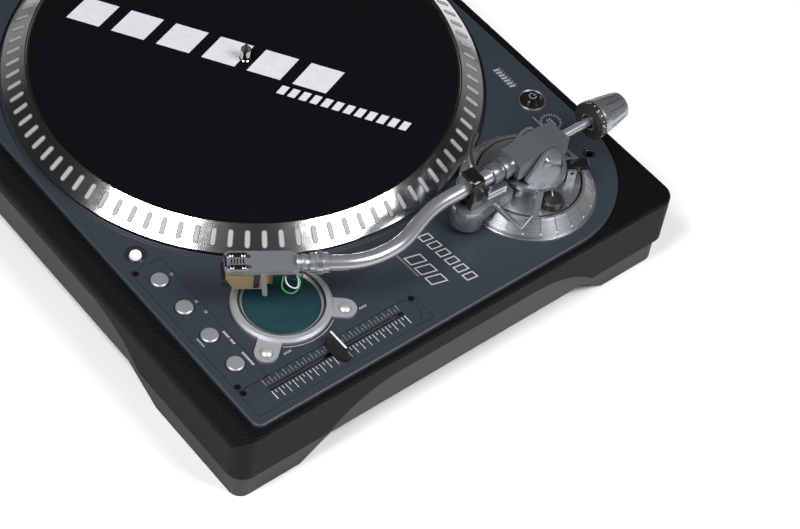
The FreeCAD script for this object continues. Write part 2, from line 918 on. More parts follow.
def make_case_screws():
    grip = D["running_gap"]
    sink = PLATE_TOP - D["panel_head_depth"]
    screws = []
    for i, (x, y) in enumerate(PANEL_SCREW_SPOTS):
        screws.append(screw(
            f"panel_screw_{i}", x, y, sink, PLATE_TOP - D["panel_head_sink"], PLATE_LOW, sink,
            PANEL_SCREW_RADIUS - grip, PANEL_SCREW_RADIUS + D["panel_head_lap"], 1))
    cover_low = D["floor_low"] - D["cover_thickness"]
    for i, (x, y) in enumerate(COVER_SCREW_SPOTS):
        screws.append(screw(
            f"cover_screw_{i}", x, y, cover_low - D["cover_head_height"], cover_low, cover_low, FLOOR_TOP,
            BASE_SCREW_RADIUS - grip, D["cover_head_radius"], -1))
    keep(grouped("case_screws", screws))


# ---------------------------------------------------------------- deck plate and control panels

def fader_slot(width):
    reach = D["fader_travel"] + D["fader_slot_end"]
    return rounded_box(
        D["fader_x"] - width / 2, D["fader_x"] + width / 2,
        D["fader_y"] - reach, D["fader_y"] + reach, width * 0.45)


def start_hole(spot, grow):
    x, y = SPOTS[spot]
    half = D["start_side"] / 2 + grow
    return rounded_box(x - half, x + half, y - half, y + half, D["start_corner"] + grow)


def panel_box(left, right, front, rear, inset):
    return rounded_box(left + inset, right - inset, front + inset, rear - inset, D["panel_corner"])


def make_top_plate():
    item = body("top_plate")
    skin = plate_outline(ZERO, D["plate_corner"])
    plate = pad(item, "plate_block", [skin], PLATE_LOW, D["plate_thickness"])
    fillet(item, plate, D["plate_edge_radius"], at_height(PLATE_TOP))
    well = ("circle", D["platter_x"], D["platter_y"], D["platter_radius"] + D["well_gap"])
    pocket(item, "platter_well", [well], PLATE_TOP, D["well_depth"])
    groove = D["panel_groove"] / 2
    wide = panel_box(
        D["panel_left"], D["panel_split"] + groove, D["panel_front"], D["button_panel_rear"], ZERO)
    pocket(item, "button_panel_seat", [wide], PLATE_TOP, D["panel_thickness"])
    long = panel_box(D["panel_split"], D["panel_right"], D["panel_front"], D["fader_panel_rear"], ZERO)
    pocket(item, "fader_panel_seat", [long], PLATE_TOP, D["panel_thickness"])
    free = D["free_gap"]
    holes = [
        ("circle", D["platter_x"], D["platter_y"], D["well_hole"]),
        ("circle", D["display_x"], D["display_y"], D["display_radius"] - D["display_lap"]),
        ("circle", D["light_x"], D["light_y"], D["light_radius"] + free),
        ("circle", D["power_x"], D["power_y"], D["power_radius"] - D["power_lap"]),
        ("circle", D["spare_x"], D["spare_y"], D["spare_radius"]),
        ("circle", D["arm_x"], D["arm_y"], D["guide_radius"] + D["plate_bush_room"]),
        fader_slot(D["fader_slot_width"] * 3),
        start_hole("start_front", free),
        start_hole("start_rear", free),
    ]
    dome_hole = D["dome_radius"] + D["dome_flange"] + D["flange_room"]
    for spot in ("dome_front", "dome_rear"):
        holes.append(("circle", SPOTS[spot][0], SPOTS[spot][1], dome_hole))
    button_hole = D["button_radius"] + D["button_flange"] + D["button_flange_room"]
    for x in BUTTON_XS:
        holes.append(("circle", x, D["button_y"], button_hole))
    for x, y in PANEL_SCREW_SPOTS:
        holes.append(("circle", x, y, PANEL_SCREW_RADIUS))
    pocket(item, "plate_holes", holes, PLATE_TOP, THROUGH)
    keep(item)


def make_panels():
    groove = D["panel_groove"]
    free = D["free_gap"]
    thick = D["panel_thickness"]
    heads = PANEL_SCREW_RADIUS + D["panel_head_lap"] + free

    item = body("button_panel")
    skin = panel_box(D["panel_left"], D["panel_split"], D["panel_front"], D["button_panel_rear"], groove)
    buttons = [("circle", x, D["button_y"], D["button_radius"] + free) for x in BUTTON_XS]
    screws = [("circle", x, y, PANEL_SCREW_RADIUS) for x, y in PANEL_SCREW_SPOTS]
    pad(item, "button_panel_sheet", [skin] + buttons + screws[:2], PANEL_LOW, thick)
    sinks = [("circle", x, y, heads) for x, y in PANEL_SCREW_SPOTS]
    pocket(item, "button_panel_sinks", sinks[:2], PLATE_TOP, D["panel_head_depth"])
    keep(item)

    item = body("fader_panel")
    skin = panel_box(D["panel_split"], D["panel_right"], D["panel_front"], D["fader_panel_rear"], groove)
    slot = fader_slot(D["fader_slot_width"])
    pad(item, "fader_panel_sheet", [skin, slot] + screws[2:], PANEL_LOW, thick)
    half = D["fader_well_width"] / 2
    middle = D["fader_x"] + D["fader_well_shift"]
    reach = D["fader_travel"] + D["fader_well_end"]
    well = rounded_box(middle - half, middle + half, D["fader_y"] - reach, D["fader_y"] + reach, half * 0.96)
    pocket(item, "fader_well", [well], PLATE_TOP, D["fader_well_depth"])
    pocket(item, "fader_panel_sinks", sinks[2:], PLATE_TOP, D["panel_head_depth"])
    keep(item)


def make_fader():
    x = D["fader_x"]
    y = D["fader_y"]
    reach = D["fader_travel"] + D["fader_case_end"]
    half = D["fader_case_width"] / 2
    low = PLATE_LOW - D["fader_case_depth"]
    wall = D["fader_case_wall"]
    case = box("fader_case", x - half, x + half, y - reach, y + reach, low, PLATE_LOW)
    bore = D["fader_travel"] + D["fader_bore_end"]
    inner = D["fader_channel_width"] / 2
    lip = D["fader_lip_width"] / 2
    channel = box("fader_channel", x - inner, x + inner, y - bore, y + bore, low + wall, PLATE_LOW - wall)
    lips = box("fader_lips", x - lip, x + lip, y - bore, y + bore, PLATE_LOW - wall - lip, PLATE_LOW + lip)
    keep(cut_away("fader_body", case, [channel, lips]))
    side = inner - D["carriage_gap"]
    long = D["carriage_length"] / 2
    rise = wall + D["carriage_rise"]
    block = box("carriage_block", x - side, x + side, y - long, y + long, low + rise, PLATE_LOW - rise)
    thin = D["stem_width"] / 2
    deep = D["stem_length"] / 2
    stem_top = D["knob_high"] - D["stem_sink"]
    stem = box("carriage_stem", x - thin, x + thin, y - deep, y + deep, low + rise, stem_top)
    keep(fused("fader_carriage", [block, stem]))

    item = body("fader_knob")
    for name, height, length, width in (
            ("knob_foot", D["knob_low"], D["knob_length"], D["knob_width"]),
            ("knob_ridge", D["knob_high"], D["ridge_length"], D["ridge_width"])):
        half = length / 2
        rise = width / 2
        bow = (half * half + rise * rise) / (rise * 2)
        outline(sketch(item, name, "XY_Plane", height), [(-half, ZERO, bow), (half, ZERO, bow)])
    loft = item.newObject("PartDesign::AdditiveLoft", "knob_loft")
    loft.Profile = item.Group[0]
    loft.Sections = [item.Group[1]]
    loft.Ruled = True
    grip = D["running_gap"]
    across = thin + grip
    along = deep + grip
    socket = [(-across, -along), (across, -along), (across, along), (-across, along)]
    socket_top = stem_top + grip
    pocket(item, "knob_socket", [socket], socket_top, socket_top - D["knob_low"] + thin)
    keep(place(item, x, y))


# ---------------------------------------------------------------- platter and drive

def make_platter():
    item = body("platter")
    bore = D["spindle_shaft_radius"]
    hub = D["spindle_shaft_radius"] + D["hub_wall"]
    rim = D["platter_radius"] - D["rim_wall"]
    lip = D["platter_top_radius"] - D["mat_lip"]
    edge = D["lip_chamfer"]
    turn(item, "platter_turn", [
        (bore, HUB_LOW), (hub, HUB_LOW), (hub, WEB_LOW), (rim - D["rim_slope"], WEB_LOW),
        (rim, D["platter_low"]), (D["platter_radius"], D["platter_low"]),
        (D["platter_radius"], D["platter_edge_high"]), (D["platter_top_radius"], D["platter_high"]),
        (lip + edge, D["platter_high"]), (lip, D["platter_high"] - edge), (lip, MAT_LOW), (bore, MAT_LOW)])
    doc.recompute()
    rise = D["platter_high"] - D["platter_edge_high"]
    run = D["platter_radius"] - D["platter_top_radius"]
    mark = sloped_mark(
        item, "speed_mark", (D["platter_radius"] + D["platter_top_radius"]) / 2,
        (D["platter_high"] + D["platter_edge_high"]) / 2, slope_of(rise, run),
        D["mark_length"], D["mark_width"], D["mark_depth"])
    doc.recompute()
    polar(item, "speed_marks", mark, D["marks"])
    keep(place(item, D["platter_x"], D["platter_y"]))

    free = D["free_gap"]
    mat = body("slipmat")
    rings = [
        ("circle", ZERO, ZERO, D["mat_radius"]),
        ("circle", ZERO, ZERO, D["spindle_collar_radius"] + free),
    ]
    pad(mat, "mat_sheet", rings, MAT_LOW, D["mat_thickness"])
    keep(place(mat, D["platter_x"], D["platter_y"]))


def make_drive():
    x = D["platter_x"]
    y = D["platter_y"]
    low = TRAY_TOP - D["shaft_depth"]
    shaft = D["spindle_shaft_radius"] - D["shaft_step"]
    tip = D["spindle_tip_radius"]
    collar_top = MAT_TOP + D["collar_rise"]
    spindle = turned("spindle", [
        (ZERO, low), (shaft, low), (shaft, HUB_LOW), (D["spindle_shaft_radius"], HUB_LOW),
        (D["spindle_shaft_radius"], MAT_LOW), (D["spindle_collar_radius"], MAT_LOW),
        (D["spindle_collar_radius"], collar_top), (D["spindle_radius"], collar_top),
        (D["spindle_radius"], D["spindle_high"] - D["spindle_tip_height"]), (tip, D["spindle_high"]),
        (ZERO, D["spindle_high"])])
    keep(place(spindle, x, y))
    run = shaft + D["running_gap"]
    side = run + D["bearing_wall"]
    hole = side + D["bearing_flange"]
    bearing_low = low - D["bearing_floor"]
    bearing_top = HUB_LOW - D["bearing_top_gap"]
    bearing = turned("spindle_bearing", [
        (ZERO, bearing_low), (side, bearing_low), (side, D["tray_floor"]), (hole, D["tray_floor"]),
        (hole, TRAY_TOP), (side, TRAY_TOP), (side, bearing_top), (run, bearing_top),
        (run, low - D["running_gap"]), (ZERO, low - D["running_gap"])])
    keep(place(bearing, x, y))
    outer = D["well_hole"] + D["tray_lap"]
    inner = D["well_hole"] - D["tray_inset"]
    wall = D["tray_wall"]
    tray = turned("platter_tray", [
        (hole, D["tray_floor"]), (inner + wall, D["tray_floor"]), (inner + wall, PLATE_LOW - wall),
        (outer, PLATE_LOW - wall), (outer, PLATE_LOW), (inner, PLATE_LOW), (inner, TRAY_TOP), (hole, TRAY_TOP)])
    keep(place(tray, x, y))
    core = hole + D["stator_bore_gap"]
    stator = turned("motor_stator", [
        (core, TRAY_TOP), (D["stator_radius"], TRAY_TOP), (D["stator_radius"], TRAY_TOP + D["stator_height"]),
        (core, TRAY_TOP + D["stator_height"])])
    keep(place(stator, x, y))
    ring = D["stator_radius"] + D["rotor_gap"]
    rotor_low = TRAY_TOP + D["rotor_drop"]
    rotor = turned("motor_rotor", [
        (ring, rotor_low), (ring + D["rotor_wall"], rotor_low),
        (ring + D["rotor_wall"], WEB_LOW), (ring, WEB_LOW)])
    keep(place(rotor, x, y))


# ---------------------------------------------------------------- display, buttons and lights

def make_display():
    high = D["display_high"]
    outer = D["display_radius"]
    pane = outer - D["display_ring_width"]
    glass = pane + D["free_gap"]
    inner = glass - D["display_seat"]
    skirt = outer - D["display_lap"] - D["free_gap"]
    seat = PLATE_TOP - D["display_seat_depth"]
    bevel = D["display_bevel"]
    flat = outer - bevel - D["display_flat"]
    step = flat - D["display_step"]
    first = high - D["display_step_low"]
    second = high - D["display_step_lower"]
    item = body("display_ring")
    turn(item, "display_turn", [
        (inner, PLATE_LOW), (skirt, PLATE_LOW), (skirt, PLATE_TOP), (outer, PLATE_TOP),
        (outer, high - bevel), (outer - bevel, high), (flat, high), (flat, first), (step, first),
        (step, second), (glass, second), (glass, seat), (inner, seat)])
    for word in ("dome_front", "dome_rear"):
        x = SPOTS[word][0] - D["display_x"]
        y = SPOTS[word][1] - D["display_y"]
        reach = root(x * x + y * y)
        across = x / reach
        along = y / reach
        near = outer - D["tab_sink"]
        wide = D["tab_radius"]
        start_left = (across * near - along * wide, along * near + across * wide)
        end_left = (x - along * wide, y + across * wide)
        start_right = (across * near + along * wide, along * near - across * wide)
        end_right = (x + along * wide, y - across * wide)
        tip = (x + across * wide, y + along * wide)
        tab = [start_right, (*end_right, wide), (*tip, wide), end_left, start_left]
        pad(item, word + "_tab", [tab], PLATE_TOP, D["tab_thickness"])
        hole = ("circle", x, y, D["dome_radius"] + D["free_gap"])
        pocket(item, word + "_hole", [hole], PLATE_TOP + D["tab_thickness"], D["tab_thickness"] + 0.01)
    keep(place(item, D["display_x"], D["display_y"]))
    pane_top = seat + D["display_glass_thickness"]
    window = turned("display_window", [
        (ZERO, seat), (pane, seat), (pane, pane_top), (ZERO, pane_top)])
    keep(place(window, D["display_x"], D["display_y"]))
    gap = D["module_gap"]
    module_low = PLATE_LOW - D["module_depth"]
    module = turned("display_module", [
        (ZERO, module_low), (skirt, module_low), (skirt, PLATE_LOW), (inner, PLATE_LOW),
        (inner - gap, PLATE_LOW), (inner - gap, seat - gap), (ZERO, seat - gap)])
    keep(place(module, D["display_x"], D["display_y"]))


def make_dome_buttons():
    radius = D["dome_radius"]
    shoulder = PLATE_TOP + D["tab_thickness"] + D["dome_lift"]
    rise = D["dome_rise"]
    bulge = (radius * radius + rise * rise) / (rise * 2)
    flange = radius + D["dome_flange"]
    low = PLATE_LOW - D["dome_flange_depth"]
    seat = PLATE_TOP - D["dome_lift"]
    for word, name in (("dome_front", "display_button_front"), ("dome_rear", "display_button_rear")):
        dome = turned(name, [
            (ZERO, low), (flange, low), (flange, seat), (radius, seat), (radius, shoulder, bulge),
            (ZERO, shoulder + rise)])
        keep(place(dome, *SPOTS[word]))


def make_panel_buttons():
    radius = D["button_radius"]
    high = D["button_high"]
    flange = radius + D["button_flange"]
    low = PLATE_LOW - D["button_flange_depth"]
    seat = PANEL_LOW - D["dome_lift"]
    bevel = D["button_bevel"]
    for letter, x in zip("abcd", BUTTON_XS):
        item = turned("panel_button_" + letter, [
            (ZERO, low), (flange, low), (flange, seat), (radius, seat), (radius, high - bevel),
            (radius - bevel, high - D["button_crown"]), (ZERO, high)])
        keep(place(item, x, D["button_y"]))


def make_start_buttons():
    side = D["start_side"] / 2
    for spot, name in (("start_front", "start_button_front"), ("start_rear", "start_button_rear")):
        item = body(name)
        cap = rounded_box(-side, side, -side, side, D["start_corner"])
        top = PLATE_TOP + D["start_rise"]
        low = PLATE_LOW - D["start_depth"]
        block = pad(item, name + "_cap", [cap], low, top - low)
        fillet(item, block, D["start_edge"], at_height(top))
        keep(place(item, *SPOTS[spot]))


def make_power():
    outer = D["power_radius"]
    free = D["free_gap"]
    inner = outer - D["power_wall"]
    skirt = outer - D["power_lap"] - D["running_gap"]
    low = PLATE_LOW - D["power_skirt"]
    rise = PLATE_TOP + D["power_rise"]
    bevel = D["power_bevel"]
    bezel = turned("power_bezel", [
        (inner, low), (skirt, low), (skirt, PLATE_TOP), (outer, PLATE_TOP),
        (outer, rise), (outer - bevel, rise + bevel), (inner, rise + D["running_gap"] * 4)])
    keep(place(bezel, D["power_x"], D["power_y"]))
    cap = inner - free
    deep = PLATE_LOW - D["power_cap_depth"]
    step = rise + D["power_step_rise"]
    dome = cap - D["power_step_two"]
    button = turned("power_button", [
        (ZERO, deep), (cap, deep), (cap, rise), (cap - D["power_step_one"], step),
        (dome, step), (dome, rise + D["power_dome_low"]),
        (cap - D["power_step_three"], rise + D["power_dome_high"]), (ZERO, rise + D["power_dome_top"])])
    keep(place(button, D["power_x"], D["power_y"]))


def make_target_light():
    radius = D["light_radius"]
    bevel = D["light_bevel"]
    high = PLATE_TOP + bevel
    low = PLATE_LOW - D["light_depth"]
    rim = radius - D["light_rim"]
    dish = high - D["light_dish"]
    light = turned("target_light", [
        (ZERO, low), (radius, low), (radius, PLATE_TOP), (radius - bevel, high),
        (rim, high), (rim - bevel, dish), (ZERO, dish)])
    keep(place(light, D["light_x"], D["light_y"]))
    foot = radius - D["lens_inset"]
    lens = turned("target_lens", [
        (ZERO, dish), (foot, dish), (foot - D["lens_taper"], dish + D["lens_rise"]),
        (foot - D["lens_taper"] * 4, dish + D["lens_crown"]), (ZERO, dish + D["lens_crown"])])
    keep(place(lens, D["light_x"], D["light_y"]))


# ---------------------------------------------------------------- electronics and rear connectors

INLET_X = D["inlet_x"]
JACK_XS = (D["jack_one_x"], D["jack_two_x"])
POST_X = D["post_x"]
CONNECTOR_Z = (REAR_LOW + REAR_HIGH) / 2
PANEL_FACE = BASE_HALF_DEPTH - REAR_DEPTH + REAR_WALL
INLET_HALF_X = D["inlet_half_width"]
INLET_HALF_Z = D["inlet_half_height"]
JACK_RADIUS = D["jack_radius"]
POST_RADIUS = D["post_radius"]


def rear_cylinder(name, radius, start, end, x):
    """A cylinder along Y at the connectors' height."""
    return cylinder(name, radius, end - start, x, start, CONNECTOR_Z, ALONG_X, -90)


def make_rear_panel():
    gap = D["shell_gap"]
    deep = BASE_HALF_DEPTH - REAR_DEPTH
    outer = box(
        "rear_outer", REAR_LEFT + gap, REAR_RIGHT - gap, deep, BASE_HALF_DEPTH, REAR_LOW + gap, REAR_HIGH - gap)
    tools = [
        box("rear_inner", REAR_LEFT + gap + REAR_WALL, REAR_RIGHT - gap - REAR_WALL, PANEL_FACE,
            BASE_HALF_DEPTH + 1, REAR_LOW + gap + REAR_WALL, REAR_HIGH - gap - REAR_WALL),
        box("inlet_hole", INLET_X - INLET_HALF_X, INLET_X + INLET_HALF_X, deep - 1, PANEL_FACE + 1,
            CONNECTOR_Z - INLET_HALF_Z, CONNECTOR_Z + INLET_HALF_Z),
        rear_cylinder("post_hole", POST_RADIUS, deep - 1, PANEL_FACE + 1, POST_X),
    ]
    for i, x in enumerate(JACK_XS):
        tools.append(rear_cylinder(f"jack_hole_{i}", JACK_RADIUS, deep - 1, PANEL_FACE + 1, x))
    keep(cut_away("rear_panel", outer, tools))


def make_rear_connectors():
    deep = PANEL_FACE - D["inlet_depth"]
    lip = PANEL_FACE + D["inlet_lip"]
    shell = box("inlet_shell", INLET_X - INLET_HALF_X, INLET_X + INLET_HALF_X, deep, lip,
                CONNECTOR_Z - INLET_HALF_Z, CONNECTOR_Z + INLET_HALF_Z)
    wall = D["inlet_wall"]
    well = box("inlet_well", INLET_X - INLET_HALF_X + wall, INLET_X + INLET_HALF_X - wall, deep + wall,
               lip + 1, CONNECTOR_Z - INLET_HALF_Z + wall, CONNECTOR_Z + INLET_HALF_Z - wall)
    hollow = doc.addObject("Part::Cut", "inlet_hollow")
    hollow.Base = shell
    hollow.Tool = well
    pins = [
        box(f"inlet_pin_{i}", INLET_X + across - 1, INLET_X + across + 1, deep + wall - 1, deep + wall + 9,
            CONNECTOR_Z + rise - 2, CONNECTOR_Z + rise + 2)
        for i, (across, rise) in enumerate(((-7, -1), (0, 1.5), (7, -1)))
    ]
    keep(fused("power_inlet", [hollow] + pins))

    terminals = []
    jack_end = PANEL_FACE + D["jack_length"]
    flange_end = PANEL_FACE + D["jack_flange_thickness"]
    for i, x in enumerate(JACK_XS):
        barrel = rear_cylinder(f"jack_barrel_{i}", JACK_RADIUS, PANEL_FACE - D["jack_tail"], jack_end, x)
        flange = rear_cylinder(f"jack_flange_{i}", JACK_RADIUS + D["jack_flange"], PANEL_FACE, flange_end, x)
        joined = doc.addObject("Part::MultiFuse", f"jack_outer_{i}")
        joined.Shapes = [barrel, flange]
        jack = doc.addObject("Part::Cut", f"jack_{i}")
        jack.Base = joined
        jack.Tool = rear_cylinder(f"jack_bore_{i}", D["jack_bore"], PANEL_FACE, jack_end + 1, x)
        terminals.append(jack)
    post_start = PANEL_FACE - D["post_tail"]
    post_end = PANEL_FACE + D["post_length"]
    terminals.append(rear_cylinder("ground_post", POST_RADIUS, post_start, post_end, POST_X))
    keep(grouped("rear_terminals", terminals))

    run = POST_RADIUS + D["running_gap"]
    outer = D["nut_radius"]
    flange = outer + D["nut_flange"]
    start = D["nut_start"]
    end = start + D["nut_length"]
    bevel = D["nut_bevel"]
    nut = turned("ground_nut", [
        (run, start), (flange, start), (flange, start * 2), (outer, start * 2),
        (outer, end - bevel), (outer - bevel, end), (run, end)])
    keep(place(nut, POST_X, PANEL_FACE, CONNECTOR_Z, ALONG_X, -90))


def make_electronics():
    low = FLOOR_TOP + D["board_rise"]
    board = box("board_sheet", ZERO - 200, ZERO - 132, ZERO - 120, ZERO + 60, low, low + D["board_thickness"])
    pieces = [board]
    for i, (x, y) in enumerate(((-194, -114), (-138, -114), (-194, 54), (-138, 54))):
        pieces.append(cylinder(f"board_post_{i}", ZERO + 3, low - FLOOR_TOP, ZERO + x, ZERO + y, FLOOR_TOP))
    for i, (x, y, wide, deep, tall) in enumerate((
            (-180, -90, 22, 22, 4), (-165, -40, 14, 30, 6), (-190, 10, 30, 16, 12), (-150, 20, 10, 10, 14))):
        pieces.append(box(f"board_chip_{i}", ZERO + x, ZERO + x + wide, ZERO + y, ZERO + y + deep,
                          low + 1, low + D["board_thickness"] + tall))
    keep(fused("main_board", pieces))
    core = box("core", ZERO - 190, ZERO - 135, ZERO + 90, ZERO + 145, FLOOR_TOP, FLOOR_TOP + 24)
    coil = box("coil", ZERO - 196, ZERO - 129, ZERO + 102, ZERO + 133, FLOOR_TOP + 4, FLOOR_TOP + 20)
    keep(fused("power_transformer", [core, coil]))


# ---------------------------------------------------------------- tonearm base

ARM_X = D["arm_x"]
ARM_Y = D["arm_y"]
ARM_Z = D["arm_z"]


def make_arm_flange():
    inner = D["guide_radius"]
    side = inner + D["flange_wall"]
    outer = D["flange_radius"]
    low = PLATE_LOW - D["flange_depth"]
    high = PLATE_TOP + D["flange_rise"]
    bevel = D["flange_bevel"]
    bush_top = DISC_LOW - D["flange_bush_gap"]
    item = turned("arm_flange_turned", [
        (inner, low), (side, low), (side, PLATE_TOP), (outer, PLATE_TOP), (outer, high - bevel),
        (outer - bevel, high), (side, high), (side, bush_top), (inner, bush_top)])
    place(item, ARM_X, ARM_Y)
    well = cylinder("flange_well_cut", D["platter_radius"] + D["well_gap"], THROUGH,
                    D["platter_x"], D["platter_y"], PLATE_LOW)
    keep(cut_away("arm_flange", item, [well]))


def make_height_ring():
    low = PLATE_TOP + D["ring_lift"]
    high = D["ring_high"]
    wide = D["ring_radius"]
    narrow = D["ring_top_radius"]
    foot = low + D["ring_foot"]
    edge = D["ring_chamfer"]
    item = body("height_ring")
    turn(item, "height_turn", [
        (D["ring_bore"], low), (wide, low), (wide, foot), (narrow, high - edge), (narrow - edge, high),
        (D["ring_bore"], high)])
    doc.recompute()
    groove = sloped_mark(
        item, "ring_groove", (wide + narrow) / 2, (foot + high) / 2, slope_of(high - foot, wide - narrow),
        D["groove_length"], D["groove_width"], D["groove_depth"])
    doc.recompute()
    polar(item, "ring_grooves_all", groove, D["ring_grooves"])
    keep(place(item, ARM_X, ARM_Y))


CUP_BEND = D["cup_neck_high"]
CUP_FLOOR = D["ring_high"] + D["cup_floor"]
CUE_Z = CUP_BEND + D["cup_floor"]
CUE_PIN_RADIUS = D["cue_pin_radius"]


def make_arm_base():
    """A disc that slides in the flange, with the cup that holds the arm's yoke and two ears for the lever."""
    item = body("arm_base_casting")
    guide = D["guide_radius"] - D["free_gap"]
    bore = guide - D["guide_wall"]
    low = PLATE_LOW - D["guide_depth"]
    neck = D["cup_neck_radius"]
    wide = D["cup_radius"]
    wall = D["cup_wall"]
    bend = CUP_BEND + D["cup_slant"]
    pin = D["yoke_pin_radius"]
    turn(item, "arm_base_turn", [
        (ZERO, DISC_LOW), (bore, DISC_LOW), (bore, low), (guide, low), (guide, DISC_LOW),
        (D["disc_radius"], DISC_LOW), (D["disc_radius"], D["ring_high"]), (neck, D["ring_high"]),
        (neck, CUP_BEND), (wide, CUP_BEND + D["cup_flare"]), (wide, D["cup_high"]),
        (wide - wall, D["cup_high"]), (wide - wall, bend + D["cup_flare"]), (neck - wall, bend),
        (neck - wall, CUP_FLOOR), (pin, CUP_FLOOR), (pin, CUE_Z), (ZERO, CUE_Z)])
    turn_to = D["cue_angle"]
    facing = FreeCAD.Rotation(UP, turn_to.value - 90)
    half = D["ear_width"] / 2
    for word, near in (("left", D["ear_left"]), ("right", D["ear_right"])):
        made = sketch(item, word + "_ear_sketch", "XY_Plane", D["ring_high"] - 0.5)
        made.AttachmentOffset = FreeCAD.Placement(V(), facing)
        bind(made, "AttachmentOffset.Base.z", D["ring_high"] - 0.5)
        middle = D["cue_from_pivot"]
        far = near + D["ear_thickness"]
        outline(made, [
            (near, middle - half), (far, middle - half), (far, middle + half), (near, middle + half)])
        ear = item.newObject("PartDesign::Pad", word + "_ear")
        ear.Profile = made
        bind(ear, "Length", CUP_BEND + D["ear_rise"] - D["ring_high"])
    place(item, ARM_X, ARM_Y)
    side = ZERO + 9
    x = ARM_X + cosine(turn_to) * D["cue_from_pivot"] - sine(turn_to) * side
    y = ARM_Y + sine(turn_to) * D["cue_from_pivot"] + cosine(turn_to) * side
    bore = cylinder("lever_bore", CUE_PIN_RADIUS + D["running_gap"], side * 2, x, y, CUE_Z)
    bore.Placement.Rotation = FreeCAD.Rotation(UP, turn_to.value).multiply(FreeCAD.Rotation(ALONG_X, 90))
    keep(cut_away("arm_base", item, [bore]))


def make_cue_lever():
    """A paddle on a pin, built pointing along +Y from the pin and turned to its place."""
    pin = cylinder("cue_pin", CUE_PIN_RADIUS, ZERO + 12.4, ZERO - 6.2, ZERO, CUE_Z, ALONG_Y, 90)
    barrel = cylinder("cue_barrel", ZERO + 2.6, ZERO + 8, ZERO - 4, ZERO, CUE_Z, ALONG_Y, 90)
    paddle = body("cue_paddle")
    profile = [(ZERO + 0, CUE_Z - 2.4), (ZERO + 12.5, CUE_Z + 0.6), (ZERO + 12.5, CUE_Z + 3.2),
               (ZERO + 11.5, CUE_Z + 4), (ZERO + 0, CUE_Z + 2.5)]
    pad(paddle, "cue_paddle_pad", [profile], 0, ZERO + 7.6, "YZ_Plane", True)
    item = fused("cue_lever", [pin, barrel, paddle])
    angle = D["cue_angle"]
    out = D["cue_from_pivot"]
    keep(place(item, ARM_X + cosine(angle) * out, ARM_Y + sine(angle) * out, 0, DOWN, -angle + 90))


def make_bias_knob():
    radius = D["bias_radius"]
    low = D["ring_high"] + 0.3
    item = turned("antiskate_knob", [
        (ZERO, low), (radius, low), (radius, low + 4.6), (radius - 1.2, low + 5.8), (ZERO, low + 6)])
    keep(place(item, ARM_X + D["bias_x"], ARM_Y + D["bias_y"]))


BIAS_ROD_Y = -D["lift_arc"] + 3
BIAS_ROD_Z = D["ring_high"] + 4
BIAS_ROD_RADIUS = ZERO + 2
BIAS_ROD_GRIP = ZERO + 4


def make_rest_bracket():
    item = body("rest_bracket")
    x = D["rest_x"]
    y = D["rest_y"]
    radius = D["rest_radius"]
    high = D["rest_high"]
    low = D["ring_high"] + 0.8
    near = -D["cup_radius"] - 1
    beam = [(x - radius, y, radius), (x, y - radius, radius), (x + radius, y),
            (x + radius - 3, near), (x - radius + 1, near)]
    pad(item, "bracket_beam", [beam], low, high - low)
    barrel = ("circle", x, y, radius)
    pad(item, "bracket_barrel", [barrel], PLATE_TOP + 5, high - PLATE_TOP - 5.5)
    guide = ("circle", D["lift_x"], D["lift_y"], D["lift_shaft_radius"] + D["running_gap"])
    pocket(item, "lift_guide", [guide], high, high - low + 1)
    rod = ("circle", BIAS_ROD_Y, BIAS_ROD_Z, BIAS_ROD_RADIUS + D["running_gap"])
    bore_end = x + radius - BIAS_ROD_GRIP - D["running_gap"]
    pocket(item, "bias_rod_bore", [rod], x + radius + 1, x + radius + 1 - bore_end, "YZ_Plane")
    keep(place(item, ARM_X, ARM_Y))


def make_rest_clip():
    """A C-shaped clip, open towards the platter, with its hook clear above the lifted tube."""
    item = body("rest_clip")
    gap = D["free_gap"]
    tube = D["tube_radius"]
    floor = TUBE_LOW - gap
    hook = ARM_Z + tube + D["clip_lift"]
    right = tube + gap
    profile = [
        (ZERO - 3, D["rest_high"]), (right + 3.4, D["rest_high"]), (right + 3.4, hook, ZERO + 3.4),
        (right, hook + 3.4), (ZERO - 5, hook + 3.4), (ZERO - 6.4, hook + 1.6), (ZERO - 5, hook),
        (right, hook), (right, floor), (ZERO - 3, floor)]
    pad(item, "clip_profile", [profile], -D["rest_y"], D["clip_length"], "XZ_Plane", True)
    keep(place(item, ARM_X, ARM_Y))


def make_lift_bar():
    """The arm lift: a shaft, a short link, a riser and a bar curved about the arm's pivot."""
    item = body("lift_bar")
    high = TUBE_LOW - D["lift_gap"]
    half = ZERO + 1.5
    start = ZERO + 7
    sweep = D["lift_sweep"] + start
    outer = D["lift_arc"] + half
    inner = D["lift_arc"] - half
    steps = 3
    angles = [-start + sweep * (i / steps) for i in range(steps + 1)]
    front = [(-sine(a) * outer, -cosine(a) * outer, -outer) for a in angles]
    front[-1] = front[-1][:2]
    back = [(-sine(a) * inner, -cosine(a) * inner, inner) for a in reversed(angles)]
    back[-1] = back[-1][:2]
    pad(item, "lift_arc_bar", [front + back], high - 4, ZERO + 4)
    x = D["lift_x"]
    y = D["lift_y"]
    low = D["rest_high"] + 0.5
    wide = D["lift_shaft_radius"]
    thick = ZERO + 2.4
    riser = [(x - 2.2, -outer + 0.7), (x + 0.4, -outer + 0.7), (x + 0.4, -inner - 0.5), (x - 2.2, -inner - 0.5)]
    pad(item, "lift_riser", [riser], low, high - low - 0.5)
    link = [(x - wide, -outer + 0.4), (x + wide - 1, -outer + 0.4), (x + wide - 0.3, y), (x - wide + 0.3, y)]
    pad(item, "lift_link", [link], low, thick)
    pad(item, "lift_shaft", [("circle", x, y, wide)], D["ring_high"] + 1, low + thick - D["ring_high"] - 1)
    keep(place(item, ARM_X, ARM_Y))


